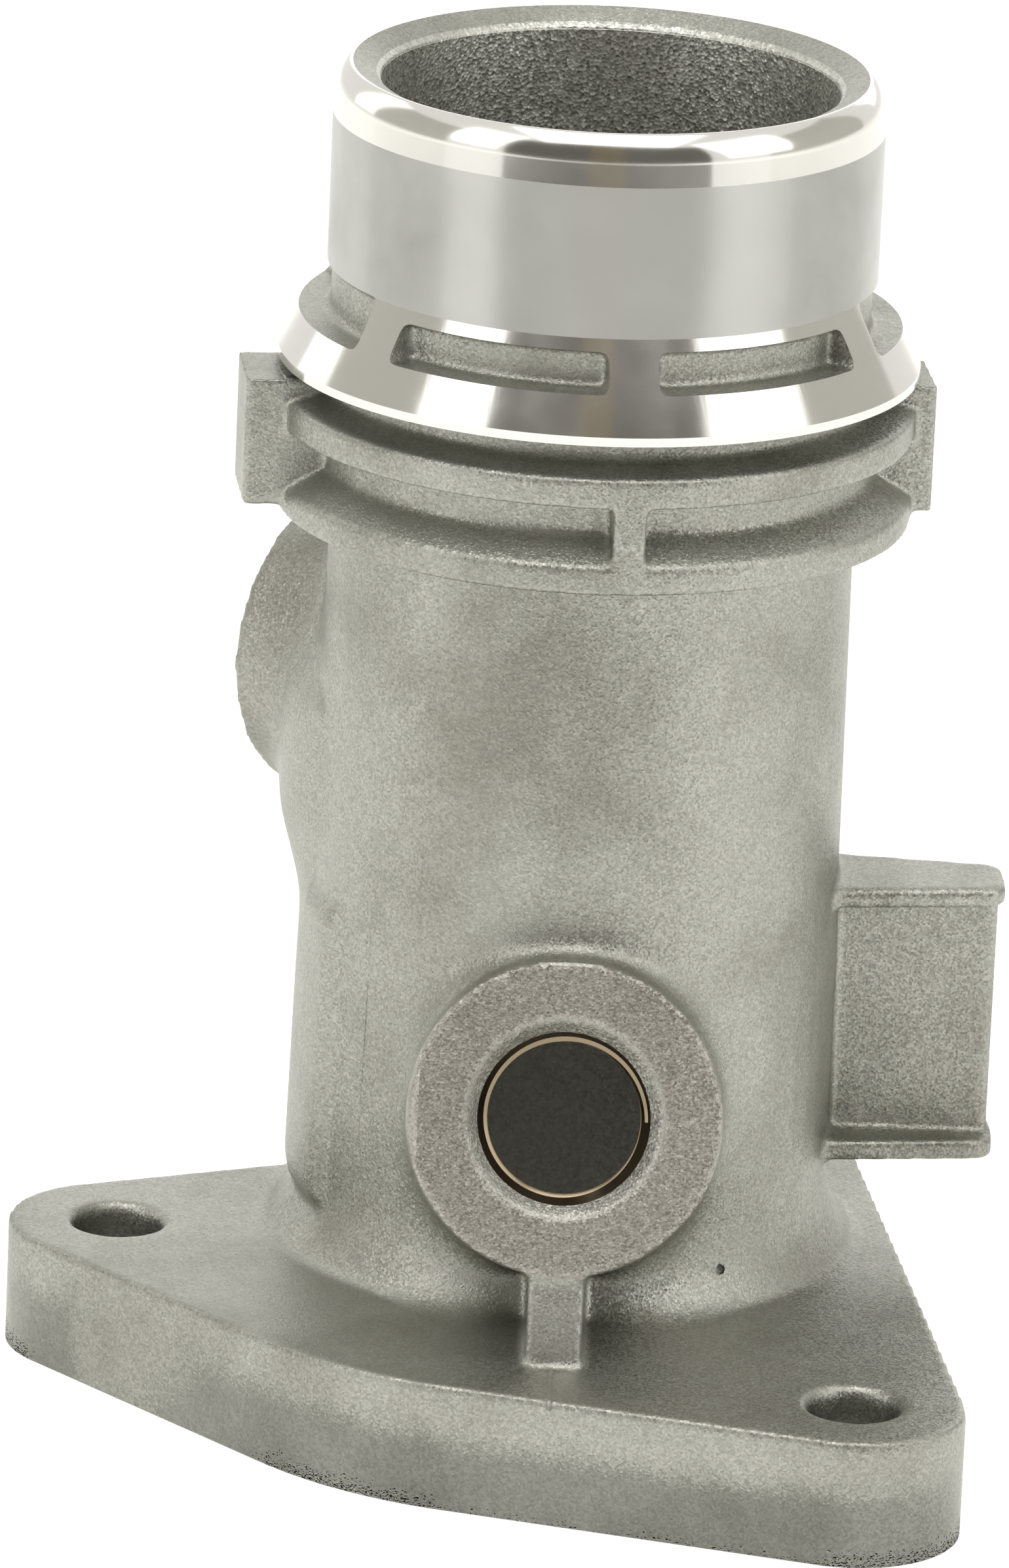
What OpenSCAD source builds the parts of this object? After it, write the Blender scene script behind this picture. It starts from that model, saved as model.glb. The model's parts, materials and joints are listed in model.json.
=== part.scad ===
// Coolant flange: a die-cast aluminium connection piece. A three-bolt flange carries a tube with a
// machined quick-connect spigot on top, an inclined sensor boss in front, a round branch boss
// behind on the left and a ribbed stop lug on the right.
// Z runs up the tube's axis, from the mounting face. The sensor boss faces -Y.

/* [Flange] */
// thickness of the flange plate
flange_t = 12.2; // [9:0.1:16]
// radius of the rounded corners round the bolt holes
corner_r = 10.5; // [8.5:0.1:12]
// radius of the bolt holes
bolt_hole_r = 4.3; // [3:0.1:5.2]
// place of the left bolt hole, towards -X
left_hole_x = -42.5; // [-46:0.1:-40]
// place of the left bolt hole along Y
left_hole_y = -5.4; // [-9:0.1:-2]
// place of the right bolt hole along X
right_hole_x = 28.1; // [26:0.1:31]
// place of the right bolt hole, towards -Y
right_hole_y = -46.5; // [-50:0.1:-44]
// place of the rear bolt hole along X
rear_hole_x = 16.8; // [14:0.1:19]
// place of the rear bolt hole along Y
rear_hole_y = 33; // [31:0.1:37]
// radius of the bulge between the two front corners
front_bulge_r = 37.5; // [34:0.1:40]
// distance of the bulge's centre in front of the tube's axis
front_bulge_y = 10.9; // [8:0.1:13]
// radius of the land round the tube
land_r = 30; // [29:0.1:31]
// distance of the left rear edge from the tube's axis
left_edge_gap = 22.6; // [20:0.1:26]
// depth of the chamfer on the bolt holes
hole_chamfer = 0.6; // [0.2:0.1:1]

/* [Tube] */
// height of the whole part, from the mounting face to the rim
total_h = 127.6; // [118:0.1:138]
// outer radius of the tube at the flange
tube_r_low = 25.5; // [25.2:0.1:26]
// outer radius of the tube under the rings
tube_r_high = 24.9; // [24.4:0.1:25.2]
// radius of the bore
bore_r = 21.6; // [20:0.1:22]
// radius of the fillet between tube and flange
foot_r = 3; // [2:0.1:4]
// outer radius of the seal groove in the mounting face
seal_r = 27.6; // [26.5:0.1:28.4]
// width of the seal groove
seal_w = 3.4; // [2:0.1:4]
// depth of the seal groove
seal_depth = 2.2; // [1:0.1:3]

/* [Spigot] */
// outer radius of the machined sealing cylinder
spigot_r = 26; // [25.6:0.1:26.4]
// height of the tapered stretch between sealing cylinder and rounded rim
rim_taper_h = 2.1; // [1.5:0.1:3]
// how much smaller the rounded rim's radius is than the sealing cylinder's
rim_inset = 0.2; // [0:0.05:0.4]
// radius of the rounded rim
rim_round_r = 3.2; // [2.6:0.1:3.4]
// height of the sealing cylinder
spigot_h = 14.4; // [12:0.1:16]
// height of the ramp cone under the sealing cylinder
ramp_h = 8.2; // [7:0.1:9.5]
// largest radius of the ramp
ramp_r = 30.4; // [29.6:0.1:31.5]
// height of the land under the ramp
ramp_land_h = 0.85; // [0.6:0.05:1.2]
// depth below the sealing cylinder of the top of the front and rear ramp pockets
pocket_top = 1.1; // [0.8:0.1:1.6]
// depth below the sealing cylinder of the floor of the ramp pockets
pocket_floor = 4.7; // [4:0.1:5.4]
// radius of the inner wall of the ramp pockets
pocket_r = 25.5; // [25.1:0.1:25.6]
// width of the pillars between the ramp pockets
pillar_w = 4.6; // [3:0.1:6]
// angle between the front pillar and its two neighbours
pillar_angle = 55; // [50:1:60]

/* [Rings] */
// outer radius of the two rings
ring_r = 30.1; // [29.4:0.1:30.8]
// radius of the wall behind the rings
wall_r = 26.4; // [26:0.1:27]
// height of the locking groove between ramp and upper ring
groove_h = 3.4; // [2.8:0.1:4]
// thickness of the upper ring at its edge
ring_top_t = 2.8; // [2.2:0.1:3.2]
// gap between the rings
ring_gap = 5.7; // [5:0.1:6.4]
// thickness of the lower ring at its edge
ring_low_t = 2.6; // [2.2:0.1:3.2]
// rise of the upper ring's top towards the wall
ring_top_rise = 1.1; // [0.6:0.1:1.6]
// rise of the lower ring's top towards the wall
ring_low_rise = 2.3; // [1:0.1:2.8]
// width of the small ribs between the rings
ring_rib_w = 3.2; // [2.4:0.1:4]
// turn of the connector's ribs, pockets and lugs about the axis
connector_turn = 7; // [0:1:15]
// reach of the left square lug from the axis
lug_reach_left = 33.7; // [32:0.1:35]
// reach of the right square lug from the axis
lug_reach_right = 31.8; // [31:0.1:34]
// gap between the lugs' ends and the outer faces of the ring pack
lug_inset = 1; // [0.5:0.1:1.5]
// width of the square lugs
lug_w = 9.5; // [8:0.1:11]

/* [Sensor boss] */
// outer radius of the sensor boss
boss_r = 14.9; // [13.8:0.1:15.4]
// distance of the centre of the boss's face from the tube's axis
boss_reach = 34.3; // [33:0.1:36]
// height of the centre of the boss's face above the flange
boss_h = 22.4; // [21:0.1:25]
// upward tilt of the boss
boss_tilt = 18.6; // [14:0.1:22]
// radius of the threaded hole, at the thread's crests
thread_r = 7.188; // [5.4:0.001:8.2]
// depth of the chamfer at the mouth of the threaded hole
thread_chamfer = 2.2; // [1.5:0.1:2.6]
// width of the rib under the boss
boss_rib_w = 5.2; // [4:0.1:7]
// reach of the rib under the boss from the axis
boss_rib_reach = 41; // [40.2:0.1:42.5]

/* [Branch boss] */
// direction of the branch boss, measured from +X towards +Y
branch_angle = 140; // [135:1:145]
// outer radius of the branch boss
branch_r = 15.2; // [14:0.1:16]
// distance of the branch boss's face from the axis
branch_reach = 31.3; // [30.6:0.1:33]
// height of the branch boss's centre above the flange
branch_h = 52.2; // [50:0.1:54]
// radius of the branch port
port_r = 8; // [6:0.1:10]
// chamfer of the branch port
port_chamfer = 1; // [0.5:0.1:1.5]
// distance from the axis of the centre of the neck under the branch boss
neck_off = 10; // [8:0.1:11]
// largest radius of the neck
neck_r = 21.3; // [20.4:0.1:21.5]
// height above the flange from which the neck has its largest radius
neck_mid_h = 40; // [37:0.5:44]
// radius of the neck where it starts to swell faster
neck_low_r = 18.3; // [17.5:0.1:19]
// height above the flange where the neck starts to swell faster
neck_low_h = 29; // [26:0.5:32]
// radius of the neck's foot, inside the tube's wall
neck_foot_r = 15; // [14.5:0.1:15.3]
// height above the flange of the neck's foot
neck_foot_h = 18; // [15:0.5:22]
// radius of the neck's top, inside the tube's wall
neck_top_r = 14.3; // [13:0.1:15]

/* [Left pad] */
// height of the bare pad on the tube's left side
pad_h = 29; // [20:0.5:34]
// how far the pad stands out from the tube
pad_out = 1.4; // [0.8:0.1:2]
// height of the pad's underside above the flange
pad_z = 5; // [4:0.5:8]
// angle that the pad reaches towards the front of the part
pad_front = 28; // [20:1:32]
// angle that the pad reaches towards the back of the part
pad_back = 34; // [28:1:40]

/* [Stop lug] */
// reach of the stop lug from the axis
stop_reach = 41.2; // [38:0.1:44]
// height of the lug's underside above the flange
stop_z = 9; // [7:0.1:12]
// height of the lug
stop_h = 27.5; // [24:0.1:30]
// thickness of the lug's two plates
stop_plate_t = 2; // [1.6:0.1:3]
// width of the plates where they leave the tube
stop_w_root = 12.6; // [11:0.1:14]
// width of the plates at their outer end
stop_w_tip = 8.6; // [7:0.1:10]
// thickness of the web between the plates
stop_web_t = 2.4; // [1.8:0.1:3.4]
// gap between the web's end and the plates' end
stop_web_gap = 0.5; // [0.2:0.1:1.5]
// turn of the stop lug about the axis
stop_turn = 2; // [0:0.5:5]
// radius of the corners at the plates' outer end
stop_corner_r = 2; // [1:0.1:3]

/* [Hidden] */
$fn = 96;

cast = "#9FA097";
turned = "#C4C4BC";

// overlap that joins neighbouring solids
lap = 0.5;
// overshoot of a cut past the surface that it opens
past = 1;
// how far the outline's corner points lie inside its arcs, so that edges and arcs cross cleanly
tuck = 0.02;
// angle by which the bulge's arc runs on past its tangent points
bulge_spread = 6;

// heights from the mounting face, worked out from the rim downwards
rim_low_z = total_h - rim_round_r;
spigot_top_z = rim_low_z - rim_taper_h;
ramp_top_z = spigot_top_z - spigot_h;
ramp_low_z = ramp_top_z - ramp_h;
groove_top_z = ramp_low_z - ramp_land_h;
ring_top_z = groove_top_z - groove_h;
gap_top_z = ring_top_z - ring_top_t;
gap_low_z = gap_top_z - ring_gap;
ring_low_z = gap_low_z - ring_low_t;

// how deep ribs and lugs are rooted in the tube's wall
root_depth = 2;
// where the stop lug starts inside the tube's wall
stop_root = tube_r_high - root_depth;

// centres of the three bolt holes
left_hole = [left_hole_x, left_hole_y];
right_hole = [right_hole_x, right_hole_y];
rear_hole = [rear_hole_x, rear_hole_y];
bulge = [0, -front_bulge_y];
axis = [0, 0];

function unit(a) = [cos(a), sin(a)];

// direction of the outer tangent's normal, for the tangent on the right of the way from p to q
function normal_right(p, rp, q, rq) =
    atan2(q[1] - p[1], q[0] - p[0]) - acos((rp - rq) / norm(q - p));

// outline of the flange: three round corners joined by tangents, a bulge and a land
module flange_outline() {
    front_left = normal_right(left_hole, corner_r, bulge, front_bulge_r);
    front_right = normal_right(bulge, front_bulge_r, right_hole, corner_r);
    right_side = normal_right(right_hole, corner_r, rear_hole, corner_r);
    rear_side = normal_right(rear_hole, corner_r, axis, land_r);
    left_side = normal_right(axis, left_edge_gap, left_hole, corner_r);
    corner_in = corner_r - tuck;
    bulge_in = front_bulge_r - tuck;
    land_in = land_r - tuck;
    bulge_far = 2 * front_bulge_r;
    polygon([
        left_hole + corner_in * unit(front_left),
        bulge + bulge_in * unit(front_left),
        bulge + bulge_in * unit(front_right),
        right_hole + corner_in * unit(front_right),
        right_hole + corner_in * unit(right_side),
        rear_hole + corner_in * unit(right_side),
        rear_hole + corner_in * unit(rear_side),
        axis + land_in * unit(rear_side),
        axis + left_edge_gap * unit(left_side),
        left_hole + corner_in * unit(left_side)
    ]);
    intersection() {
        translate(bulge)
            circle(r = front_bulge_r);
        polygon([
            bulge,
            bulge + bulge_far * unit(front_left - bulge_spread),
            bulge + bulge_far * unit(front_right + bulge_spread)
        ]);
    }
    for (hole = [left_hole, right_hole, rear_hole])
        translate(hole)
            circle(r = corner_r);
    circle(r = land_r);
}

// flange plate, solid
module flange_plate() {
    color(cast)
        linear_extrude(height = flange_t)
            flange_outline();
}

// one bolt hole with a chamfer on top
module bolt_hole(at) {
    translate([at[0], at[1], -past])
        cylinder(r = bolt_hole_r, h = flange_t + 2 * past);
    translate([at[0], at[1], flange_t - hole_chamfer])
        cylinder(r1 = bolt_hole_r, r2 = bolt_hole_r + 2 * hole_chamfer, h = 2 * hole_chamfer);
}

// seal groove round the bore, in the mounting face
module seal_groove() {
    difference() {
        translate([0, 0, -past])
            cylinder(r = seal_r, h = seal_depth + past);
        translate([0, 0, -2 * past])
            cylinder(r = seal_r - seal_w, h = seal_depth + 4 * past);
    }
}

// tapered tube with the fillet at its foot
module tube() {
    color(cast) {
        translate([0, 0, flange_t - lap])
            cylinder(r1 = tube_r_low, r2 = tube_r_high, h = ring_low_z - flange_t + 2 * lap);
        translate([0, 0, flange_t])
            rotate_extrude()
                difference() {
                    translate([tube_r_high - 2 * lap, -lap])
                        square([tube_r_low - tube_r_high + 2 * lap + foot_r, foot_r + lap]);
                    translate([tube_r_low + foot_r, foot_r])
                        circle(r = foot_r);
                }
    }
}

// rings, ribs and lugs under the ramp
module rings() {
    color(cast) {
        translate([0, 0, ring_low_z])
            cylinder(r = ring_r, h = ring_low_t);
        translate([0, 0, gap_low_z])
            cylinder(r1 = ring_r, r2 = wall_r, h = ring_low_rise);
        translate([0, 0, gap_top_z])
            cylinder(r = ring_r, h = ring_top_t);
        translate([0, 0, ring_top_z])
            cylinder(r1 = ring_r, r2 = wall_r, h = ring_top_rise);
        translate([0, 0, ring_low_z + lap])
            cylinder(r = wall_r, h = groove_top_z - ring_low_z);
        intersection() {
            translate([0, 0, gap_low_z - lap])
                cylinder(r = ring_r, h = ring_gap + 2 * lap);
            translate([-ring_rib_w / 2, -ring_r - past, gap_low_z - lap])
                cube([ring_rib_w, 2 * (ring_r + past), ring_gap + 2 * lap]);
        }
        translate([-lug_reach_left, -lug_w / 2, ring_low_z + lug_inset])
            cube([lug_reach_left - wall_r + lap, lug_w, groove_top_z - ring_low_z - 2 * lug_inset]);
        translate([wall_r - lap, -lug_w / 2, ring_low_z + lug_inset])
            cube([lug_reach_right - wall_r + lap, lug_w, groove_top_z - ring_low_z - 2 * lug_inset]);
    }
}

// ring-shaped cut for ramp pockets between two heights, left open where the pillars stand
module pocket_ring(low, high) {
    difference() {
        translate([0, 0, low])
            cylinder(r = ramp_r + past, h = high - low);
        translate([0, 0, low - past])
            cylinder(r = pocket_r, h = high - low + 2 * past);
        for (turn = [0, pillar_angle, -pillar_angle])
            rotate(turn)
                translate([-pillar_w / 2, -ramp_r - 2 * past, low - past])
                    cube([pillar_w, 2 * (ramp_r + 2 * past), high - low + 2 * past]);
    }
}

// wedge-shaped zone on both sides that holds the two side pockets
module side_zone() {
    reach = 2 * ramp_r;
    for (side = [-1, 1])
        translate([0, 0, ramp_top_z - pocket_top - past])
            linear_extrude(height = pocket_top + 2 * past)
                polygon([
                    axis,
                    reach * [side * sin(pillar_angle), -cos(pillar_angle)],
                    reach * [side * sin(pillar_angle), cos(pillar_angle)]
                ]);
}

// rounded rim: a tapered foot, a round outer shoulder and a smaller round inner one
module rim() {
    rim_r = spigot_r - rim_inset;
    crown_r = rim_r - rim_round_r;
    inner_round = crown_r - bore_r;
    translate([0, 0, spigot_top_z])
        cylinder(r1 = spigot_r, r2 = rim_r, h = rim_taper_h);
    translate([0, 0, rim_low_z])
        rotate_extrude() {
            intersection() {
                translate([crown_r, 0])
                    circle(r = rim_round_r);
                translate([crown_r, -lap])
                    square([rim_round_r, rim_round_r + lap]);
            }
            translate([bore_r - past, -lap])
                square([crown_r - bore_r + past, rim_round_r - inner_round + lap]);
            intersection() {
                translate([crown_r, rim_round_r - inner_round])
                    circle(r = inner_round);
                translate([bore_r, rim_round_r - inner_round - lap])
                    square([inner_round + lap, inner_round + lap]);
            }
        }
}

// machined end: ramp with its pockets, sealing cylinder and rounded rim
module spigot() {
    color(turned)
        difference() {
            union() {
                translate([0, 0, groove_top_z])
                    cylinder(r = ramp_r, h = ramp_land_h);
                translate([0, 0, ramp_low_z])
                    cylinder(r1 = ramp_r, r2 = spigot_r, h = ramp_h);
                translate([0, 0, ramp_top_z - lap])
                    cylinder(r = spigot_r, h = spigot_h + lap);
                rim();
            }
            pocket_ring(ramp_top_z - pocket_floor, ramp_top_z - pocket_top);
            intersection() {
                pocket_ring(ramp_top_z - pocket_top - lap, ramp_top_z);
                side_zone();
            }
        }
}

// inclined sensor boss with the rib under it
module sensor_boss() {
    color(cast) {
        translate([0, -boss_reach, flange_t + boss_h])
            rotate([90 - boss_tilt, 0, 0])
                translate([0, 0, -boss_reach / 2])
                    cylinder(r = boss_r, h = boss_reach / 2);
        translate([boss_rib_w / 2, 0, flange_t])
            rotate([90, 0, -90])
                linear_extrude(height = boss_rib_w)
                    polygon([
                        [tube_r_low - root_depth, -lap],
                        [boss_rib_reach, -lap],
                        [boss_reach + boss_r * sin(boss_tilt) - lap,
                            boss_h - boss_r * cos(boss_tilt) + lap],
                        [tube_r_low - root_depth, boss_h]
                    ]);
    }
}

// threaded hole of the sensor boss, with its chamfer
module sensor_hole() {
    translate([0, -boss_reach, flange_t + boss_h])
        rotate([90 - boss_tilt, 0, 0]) {
            translate([0, 0, -boss_reach])
                cylinder(r = thread_r, h = boss_reach + past);
            translate([0, 0, -thread_chamfer])
                cylinder(r1 = thread_r, r2 = thread_r + 2 * thread_chamfer, h = 2 * thread_chamfer);
        }
}

// round branch boss with the swelling neck that carries it
module branch_boss() {
    color(cast)
        rotate(branch_angle) {
            translate([0, 0, flange_t + branch_h])
                rotate([0, 90, 0])
                    cylinder(r = branch_r, h = branch_reach);
            translate([neck_off, 0, flange_t]) {
                translate([0, 0, neck_foot_h])
                    cylinder(r1 = neck_foot_r, r2 = neck_low_r, h = neck_low_h - neck_foot_h);
                translate([0, 0, neck_low_h])
                    cylinder(r1 = neck_low_r, r2 = neck_r, h = neck_mid_h - neck_low_h);
                translate([0, 0, neck_mid_h])
                    cylinder(r = neck_r, h = branch_h - neck_mid_h);
                translate([0, 0, branch_h])
                    cylinder(r1 = neck_r, r2 = neck_top_r, h = branch_r);
            }
        }
}

// port of the branch boss
module branch_port() {
    rotate(branch_angle)
        translate([0, 0, flange_t + branch_h])
            rotate([0, 90, 0]) {
                cylinder(r = port_r, h = branch_reach + past);
                translate([0, 0, branch_reach - port_chamfer])
                    cylinder(r1 = port_r, r2 = port_r + 2 * port_chamfer, h = 2 * port_chamfer);
            }
}

// bare raised pad on the left side of the tube
module left_pad() {
    far = 2 * tube_r_low;
    color(cast)
        intersection() {
            translate([0, 0, flange_t + pad_z])
                cylinder(r1 = tube_r_low + pad_out, r2 = tube_r_high + pad_out, h = pad_h);
            translate([0, 0, flange_t])
                linear_extrude(height = pad_z + pad_h + past)
                    polygon([
                        axis,
                        far * unit(180 - pad_back),
                        [-far, 0],
                        far * unit(180 + pad_front)
                    ]);
        }
}

// outline of a plate of the stop lug, tapered and with round outer corners
module stop_outline() {
    tip = stop_reach - stop_corner_r;
    tip_half = stop_w_tip / 2 - stop_corner_r;
    polygon([
        [stop_root, -stop_w_root / 2],
        [tip, -stop_w_tip / 2],
        [tip, stop_w_tip / 2],
        [stop_root, stop_w_root / 2]
    ]);
    translate([tip - lap, -tip_half])
        square([stop_corner_r + lap, 2 * tip_half]);
    for (side = [-1, 1])
        translate([tip, side * tip_half])
            circle(r = stop_corner_r);
}

// stop lug: two plates joined by a web
module stop_lug() {
    color(cast)
        translate([0, 0, flange_t + stop_z])
            rotate(stop_turn) {
                linear_extrude(height = stop_plate_t)
                    stop_outline();
                translate([0, 0, stop_h - stop_plate_t])
                    linear_extrude(height = stop_plate_t)
                        stop_outline();
                translate([stop_root, -stop_web_t / 2, stop_plate_t - lap])
                    cube([
                        stop_reach - stop_web_gap - stop_root,
                        stop_web_t,
                        stop_h - 2 * stop_plate_t + 2 * lap
                    ]);
            }
}

// the whole casting, machined
module coolant_flange() {
    difference() {
        union() {
            flange_plate();
            tube();
            rotate(connector_turn) {
                rings();
                spigot();
            }
            sensor_boss();
            branch_boss();
            left_pad();
            stop_lug();
        }
        translate([0, 0, -past])
            cylinder(r = bore_r, h = total_h + 2 * past);
        seal_groove();
        sensor_hole();
        branch_port();
        for (hole = [left_hole, right_hole, rear_hole])
            bolt_hole(hole);
    }
}

coolant_flange();
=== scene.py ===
# %% [markdown]
# A die-cast coolant flange, dressed for its picture. The casting is made as a foundry makes it:
# a soft-edged blank first, then the crisp cuts of lathe, drill and tap.
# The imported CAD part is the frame, so every size here is in metres and in its coordinates.

# %% Load the frame
import json
import math

import bmesh
import bpy
from mathutils import Matrix, Vector


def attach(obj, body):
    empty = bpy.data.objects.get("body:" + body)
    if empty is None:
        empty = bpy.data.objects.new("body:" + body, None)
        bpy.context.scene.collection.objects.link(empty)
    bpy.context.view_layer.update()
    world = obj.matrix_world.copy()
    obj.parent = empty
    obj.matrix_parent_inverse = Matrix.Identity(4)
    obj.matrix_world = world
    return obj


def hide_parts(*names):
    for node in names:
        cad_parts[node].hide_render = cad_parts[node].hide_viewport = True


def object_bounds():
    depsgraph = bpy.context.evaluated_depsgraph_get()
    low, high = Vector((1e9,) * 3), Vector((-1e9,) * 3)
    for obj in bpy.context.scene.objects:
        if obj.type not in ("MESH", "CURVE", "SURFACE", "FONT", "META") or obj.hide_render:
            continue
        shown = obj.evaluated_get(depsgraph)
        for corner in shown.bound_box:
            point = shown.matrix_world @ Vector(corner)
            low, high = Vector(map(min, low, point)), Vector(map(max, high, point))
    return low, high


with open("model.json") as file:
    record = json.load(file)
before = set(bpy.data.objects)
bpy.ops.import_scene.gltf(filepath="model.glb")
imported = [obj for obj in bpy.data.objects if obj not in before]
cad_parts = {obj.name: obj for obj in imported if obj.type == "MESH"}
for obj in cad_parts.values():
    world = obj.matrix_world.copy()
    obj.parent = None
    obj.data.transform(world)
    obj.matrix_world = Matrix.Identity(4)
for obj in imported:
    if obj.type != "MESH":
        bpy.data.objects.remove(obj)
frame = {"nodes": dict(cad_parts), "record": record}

mm = 0.001
cad_low, cad_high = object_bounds()
cad_casting = frame["nodes"]["coolant_flange"]
mounts = {m["name"]: m for m in frame["record"]["mounts"]}
print("frame", [round(v / mm, 2) for v in (*cad_low, *cad_high)], "mm")

# %% [markdown]
# The camera stands where the photograph was taken: a metre in front, looking down by 18 degrees
# through a long lens. It could be aimed with a constraint, but three turning angles keep it exact.

# %% Camera
picture_w, picture_h = 1540, 2393
camera_place = Vector((0, -1049.6, 392.15)) * mm
camera_pitch = 0.3098
camera_yaw = -0.0068
camera_roll = 0.0436
camera_lens = 264.69

camera = bpy.data.objects.new("camera", bpy.data.cameras.new("camera"))
bpy.context.scene.collection.objects.link(camera)
bpy.context.scene.camera = camera
camera.data.sensor_width = 36
camera.data.lens = camera_lens
camera.data.clip_start = 0.05
camera.data.clip_end = 20

ahead = Vector((
    math.sin(camera_yaw) * math.cos(camera_pitch),
    math.cos(camera_yaw) * math.cos(camera_pitch),
    -math.sin(camera_pitch),
))
level = ahead.cross(Vector((0, 0, 1))).normalized()
upright = level.cross(ahead)
right = math.cos(camera_roll) * level + math.sin(camera_roll) * upright
up = math.cos(camera_roll) * upright - math.sin(camera_roll) * level
turn = Matrix((right, up, -ahead)).transposed()
camera.matrix_world = Matrix.Translation(camera_place) @ turn.to_4x4()
print("camera", [round(v, 3) for v in camera_place], "picture", picture_w, "by", picture_h)

# %% [markdown]
# Two small helpers serve every material. Colours are picked as hex values on a screen, so they
# are turned to linear light first. A node is added with its settings and links in one call.

# %% Material helpers
def linear(hex_colour):
    """A screen colour as linear light, by the curve of the sRGB standard."""
    values = [int(hex_colour[i:i + 2], 16) / 255 for i in (1, 3, 5)]
    return tuple(v / 12.92 if v <= 0.04045 else ((v + 0.055) / 1.055) ** 2.4 for v in values) + (1,)


def add(tree, kind, inputs=None, **settings):
    made = tree.nodes.new(kind)
    for name, value in settings.items():
        setattr(made, name, value)
    for socket, value in (inputs or {}).items():
        if isinstance(value, bpy.types.NodeSocket):
            tree.links.new(value, made.inputs[socket])
        else:
            made.inputs[socket].default_value = value
    return made


def new_material(name):
    material = bpy.data.materials.new(name)
    material.use_nodes = True
    material.node_tree.nodes.clear()
    return material, material.node_tree

# %% [markdown]
# The casting is an aluminium die casting that was blasted with fine shot. Each shot leaves a dent
# of about a fifth of a millimetre, so the metal looks matt from afar and glitters close up.
# Round cells give every dent its own shade, gloss and tilt, which no single noise could.
# A wide, weak cloud of darker metal stands for the stains that the melt leaves. A patch of painted
# shade above the sensor boss is mixed in with it.

# %% Shot-blasted die-cast aluminium
cloud_size = 16 * mm
cloud_low, cloud_high = 0.25, 0.55
shade_low, shade_high = 0.82, 1.18
gloss_spread = 0.1
# A patch of painted shade darkens the metal above the sensor boss and fades between two distances.
shade_spot = Vector((-3, -25, 71)) * mm
shade_spot_full, shade_spot_gone = 4 * mm, 15 * mm
shade_spot_weight = -0.24
# Painted shade darkens the bore lower down and fades out between two heights.
deep_shade_full, deep_shade_gone = 70 * mm, 110 * mm


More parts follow.
